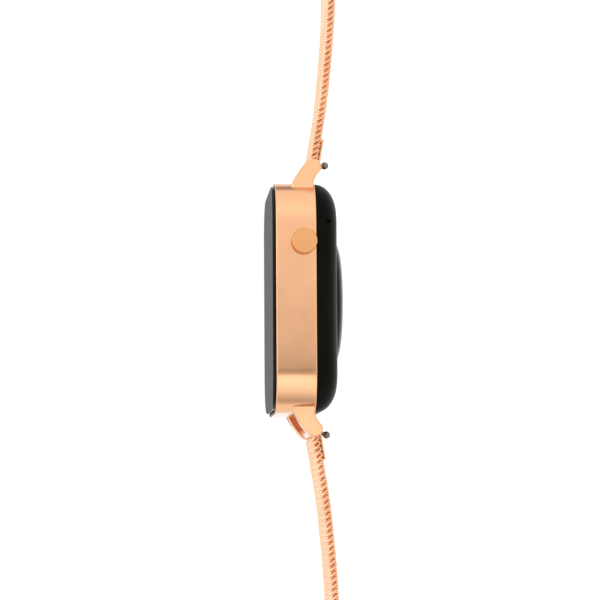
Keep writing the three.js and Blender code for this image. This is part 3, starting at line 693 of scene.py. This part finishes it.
def coil_path(row_at, shifted, side):
    """One flattened coil across the strap, with a sideways loop at each edge, as across, along and rise."""
    half = STRAP_WIDTH / 2 - WIRE_R - EDGE_LOOP
    turns = int(2 * half / COIL_PITCH)
    t = np.arange(0, (2 * turns + 1) * COIL_STEPS // 2 + 1) / COIL_STEPS - HALF_LOOP
    angle = 2 * math.pi * t
    edge = np.where(t < HALF_LOOP, -1, np.where(t > turns - HALF_LOOP, 1, 0))
    across = -half + 2 * half * np.clip((t - HALF_LOOP) / (turns - 2 * HALF_LOOP), 0, 1)
    inside = np.clip(np.minimum(across + half, half - across) / COIL_PITCH, 0, 1)
    across = across + 0.5 * COIL_PITCH * shifted * inside + edge * EDGE_LOOP * np.cos(angle)
    rise = (STRAP_THICK / 2 - PRESSED) * np.sin(angle)
    along = row_at + np.where(edge, 0, COIL_REACH * np.cos(angle)) - side * COIL_LEAN * rise
    return np.stack([across, along, rise], -1)


def tube_points(path):
    """The points of a tube of WIRE_R round a path."""
    tangent = np.gradient(path, axis=0)
    tangent /= np.linalg.norm(tangent, axis=1)[:, None]
    first = np.cross(tangent, ASIDE)
    first /= np.linalg.norm(first, axis=1)[:, None]
    second = np.cross(tangent, first)
    a = np.arange(WIRE_SIDES) * 2 * math.pi / WIRE_SIDES
    ring = WIRE_R * (np.cos(a)[None, :, None] * first[:, None] + np.sin(a)[None, :, None] * second[:, None])
    return (path[:, None] + ring).reshape(-1, 3)


def tube_faces(base, count):
    """The faces of a closed tube with count rings, whose points start at base."""
    faces = []
    for start in range(base, base + (count - 1) * WIRE_SIDES, WIRE_SIDES):
        for j in range(WIRE_SIDES):
            a, b = start + j, start + (j + 1) % WIRE_SIDES
            faces.append((a, b, b + WIRE_SIDES, a + WIRE_SIDES))
    faces.append(tuple(range(base + WIRE_SIDES - 1, base - 1, -1)))
    faces.append(tuple(range(base + (count - 1) * WIRE_SIDES, base + count * WIRE_SIDES)))
    return faces


def woven_piece(name, route, end, side, row):
    """The coils from a row up to a distance along the strap, and the next row."""
    verts, faces = [], []
    while FIRST_ROW + row * ROW_PITCH < end:
        path = coil_path(FIRST_ROW + row * ROW_PITCH, row % 2, side)
        across, along, rise = tube_points(path).T
        rise = np.clip(rise, -STRAP_THICK / 2, STRAP_THICK / 2)
        faces += tube_faces(len(verts), len(path))
        verts.extend(on_strap(route, along, across, rise).tolist())
        row += 1
    verts = np.array(verts)
    verts[:, 1] *= side
    mesh = bpy.data.meshes.new(name)
    mesh.from_pydata(verts.tolist(), [], faces)
    if side < 0:
        mesh.flip_normals()
    shade(mesh, WIRE_SHARP)
    return added(name, mesh), row


def woven_strap(name, count, last, side):
    """The strap in pieces that each cross one hinge and meet halfway along a slab."""
    route = strap_route(count, last)
    hinges = strap_hinges(count, last)
    stops = [(a + b) / 2 for a, b in zip(hinges[1:], hinges[2:])]
    stops[-1] = hinges[-1] - MESH_SHORT
    row = 0
    for k, stop in enumerate(stops):
        obj, row = woven_piece(f"{name}_weave_{k + 1}", route, stop, side, row)
        obj.data.materials.append(MATERIALS["wire"])
        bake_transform(obj)
        nodes = [f"{name}_mesh_{k + 2}"] + ([f"{name}_mesh_1"] if k == 0 else [])
        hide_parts(*nodes)


def strap(name):
    count, last, side = STRAPS[name]
    end_link(name, side)
    spring_bar(name, side)
    release_plunger(name, side)
    woven_strap(name, count, last, side)


CAD_PIECES = [  # node, body, width of its rounded edges in millimetres, look, slot
    ("upper_end_clamp", "upper_strap_5", 0.15, "plate", "rose_steel"),
    ("lower_tip_clamp", "lower_strap_6", 0.15, "plate", "rose_steel"),
    ("clasp_body", "clasp", 0.2, "plate", "rose_steel"),
    ("clasp_lock_lever", "clasp_lock", 0.12, "plate", "rose_steel"),
    ("clasp_cover", "clasp_fold", 0.12, "plate", "rose_steel"),
    ("clasp_hook", "clasp_fold", 0.08, "steel", "steel"),
    ("catch_bar", "upper_strap_5", 0.1, "steel", "steel"),
    ("clasp_lock_pin", "clasp", 0.1, "steel", "steel"),
    ("clasp_cover_pin", "clasp", 0.1, "steel", "steel"),
]


def rounded_cad_pieces():
    """The clasp and the strap's end fittings keep their CAD shape, with rounded edges."""
    for node, body, width, look, slot in CAD_PIECES:
        place(refined(node, width * MM), body, MATERIALS[look], slot, node)


# ---- Studio ----
CAMERA_AT = (0.4894, -0.0388, 0.0362)
CAMERA_TARGET = (0.018, -0.00094, 0.00872)
CAMERA_ROLL = math.radians(-0.32)
LENS = 154.9
SENSOR_WIDTH = 36
NEAREST, FURTHEST = 0.01, 20

FLOOR = -0.135  # low enough to leave room for the straps where they hang and curl
FLOOR_HALF = 3
FLOOR_THICK = 0.01
FLOOR_GREY = 0.12
FLOOR_GLOW = 0.93

# The reflector's brightness by bearing, in degrees from +X towards +Y: soft boxes and dark gaps.
BEARINGS = [
    (-180, 1.1), (-118, 1.06), (-96, 1.2), (-88, 0.85), (-79, 0.6), (-67, 0.9), (-50, 1.4),
    (-32, 1.65), (-23, 1.4), (-19, 0.7), (-16, 0.62), (-13, 0.5), (-8, 0.48), (-6.3, 0.82),
    (-2, 0.93), (0, 0.94), (8, 1.08), (25, 1.2), (40, 1.4), (60, 1.25), (90, 1.13),
    (95, 0.8), (99, 0.42), (110, 0.42), (116, 1.0), (140, 1.1), (180, 1.1),
]
REFLECTOR_R = 80 * MM
REFLECTOR_HEIGHT = 12 * MM
REFLECTOR_SIDES = 240
FLAG_LEVEL = 0.24
FLAG_START, FLAG_END = 150, 200
FLAG_TOP = 30 * MM

SKY_LOW, SKY_HIGH = 0.3, 0.8  # heights between which the sky brightens
SKY_LEVEL_LOW, SKY_LEVEL_HIGH = 1.02, 1.4


def look_at(obj, where, target, up):
    obj.location = where
    forward = (Vector(target) - Vector(where)).normalized()
    right = forward.cross(Vector(up)).normalized()
    true_up = right.cross(forward)
    obj.rotation_euler = Matrix((right, true_up, -forward)).transposed().to_euler()


def camera():
    data = bpy.data.cameras.new("camera")
    data.lens = LENS
    data.sensor_width = SENSOR_WIDTH
    data.clip_start = NEAREST
    data.clip_end = FURTHEST
    obj = added("camera", data)
    look_at(obj, CAMERA_AT, CAMERA_TARGET, (0, math.cos(CAMERA_ROLL), math.sin(CAMERA_ROLL)))
    bpy.context.scene.camera = obj


def floor():
    """A pale floor that glows a little, so that it keeps its tone all over."""
    obj = block("floor", (-FLOOR_HALF, -FLOOR_HALF, FLOOR - FLOOR_THICK), (FLOOR_HALF, FLOOR_HALF, FLOOR))
    material, bsdf = shader("floor", Roughness=0.9, Base_Color=(FLOOR_GREY, FLOOR_GREY, FLOOR_GREY, 1))
    bsdf.inputs["Emission Color"].default_value = (1, 1, 1, 1)
    bsdf.inputs["Emission Strength"].default_value = FLOOR_GLOW
    obj.data.materials.append(material)


def bearing_of(tree, where):
    """A vector's bearing, as a share of the full turn from -X round through -Y, +X and +Y."""
    split = tree.nodes.new("ShaderNodeSeparateXYZ")
    bearing = tree.nodes.new("ShaderNodeMath")
    bearing.operation = "ARCTAN2"
    tree.links.new(where, split.inputs["Vector"])
    tree.links.new(split.outputs["Y"], bearing.inputs[0])
    tree.links.new(split.outputs["X"], bearing.inputs[1])
    return mapped(tree, bearing.outputs["Value"], -math.pi, math.pi, 0, 1)


def levels_by_bearing(tree, levels):
    """A grey that follows the bearing, from a list of bearings in degrees and levels."""
    where = tree.nodes.new("ShaderNodeTexCoord")
    ramp = tree.nodes.new("ShaderNodeValToRGB")
    stops = ramp.color_ramp.elements
    stops.remove(stops[1])
    for k, (degrees, level) in enumerate(levels):
        stop = stops.new((degrees + 180) / 360) if k else stops[0]
        stop.color = (level, level, level, 1)
    tree.links.new(bearing_of(tree, where.outputs["Object"]), ramp.inputs["Fac"])
    return ramp.outputs["Color"]


def studio_card(name, start, end, low, high, levels=None):
    """A glowing strip of a low ring round the case, between two bearings, seen only in reflections."""
    verts, faces = [], []
    for k in range(REFLECTOR_SIDES + 1):
        a = math.radians(start + (end - start) * k / REFLECTOR_SIDES)
        x, y = REFLECTOR_R * math.cos(a), REFLECTOR_R * math.sin(a)
        verts += [(x, y, low), (x, y, high)]
        if k:
            faces.append((2 * k - 2, 2 * k, 2 * k + 1, 2 * k - 1))
    obj = new_object(name, verts, faces)
    material = bpy.data.materials.new(name)
    material.use_nodes = True
    tree = material.node_tree
    tree.nodes.remove(tree.nodes["Principled BSDF"])
    glow = tree.nodes.new("ShaderNodeEmission")
    if levels:
        tree.links.new(levels_by_bearing(tree, levels), glow.inputs["Color"])
    else:
        glow.inputs["Color"].default_value = (FLAG_LEVEL, FLAG_LEVEL, FLAG_LEVEL, 1)
    tree.links.new(glow.outputs["Emission"], tree.nodes["Material Output"].inputs["Surface"])
    obj.data.materials.append(material)
    obj.visible_camera = False
    obj.visible_shadow = False
    obj.visible_diffuse = False


def world():
    """A sky that is white at the horizon and brighter overhead."""
    studio = bpy.data.worlds.new("studio")
    bpy.context.scene.world = studio
    studio.use_nodes = True
    tree = studio.node_tree
    where = tree.nodes.new("ShaderNodeTexCoord")
    split = tree.nodes.new("ShaderNodeSeparateXYZ")
    tree.links.new(where.outputs["Generated"], split.inputs["Vector"])
    level = mapped(tree, split.outputs["Z"], SKY_LOW, SKY_HIGH, SKY_LEVEL_LOW, SKY_LEVEL_HIGH)
    tree.links.new(level, tree.nodes["Background"].inputs["Color"])


def soft_light(name, size, power, where, target):
    data = bpy.data.lights.new(name, "AREA")
    data.size = size
    data.energy = power
    look_at(added(name, data), where, target, (0, 0.1, 1))


bpy.context.scene.view_settings.view_transform = "Standard"
camera()
floor()
studio_card("reflector", -180, 180, 0, REFLECTOR_HEIGHT, BEARINGS)
studio_card("flag", FLAG_START, FLAG_END, REFLECTOR_HEIGHT, FLAG_TOP)
world()
soft_light("key", 0.5, 1.2, (0.35, 0.25, 0.7), (0, 0, 0))
dress_cad_nodes()
case_frame()
display_glass()
back_cover()
sensor_window()
crown()
for strap_name in STRAPS:
    strap(strap_name)
rounded_cad_pieces()
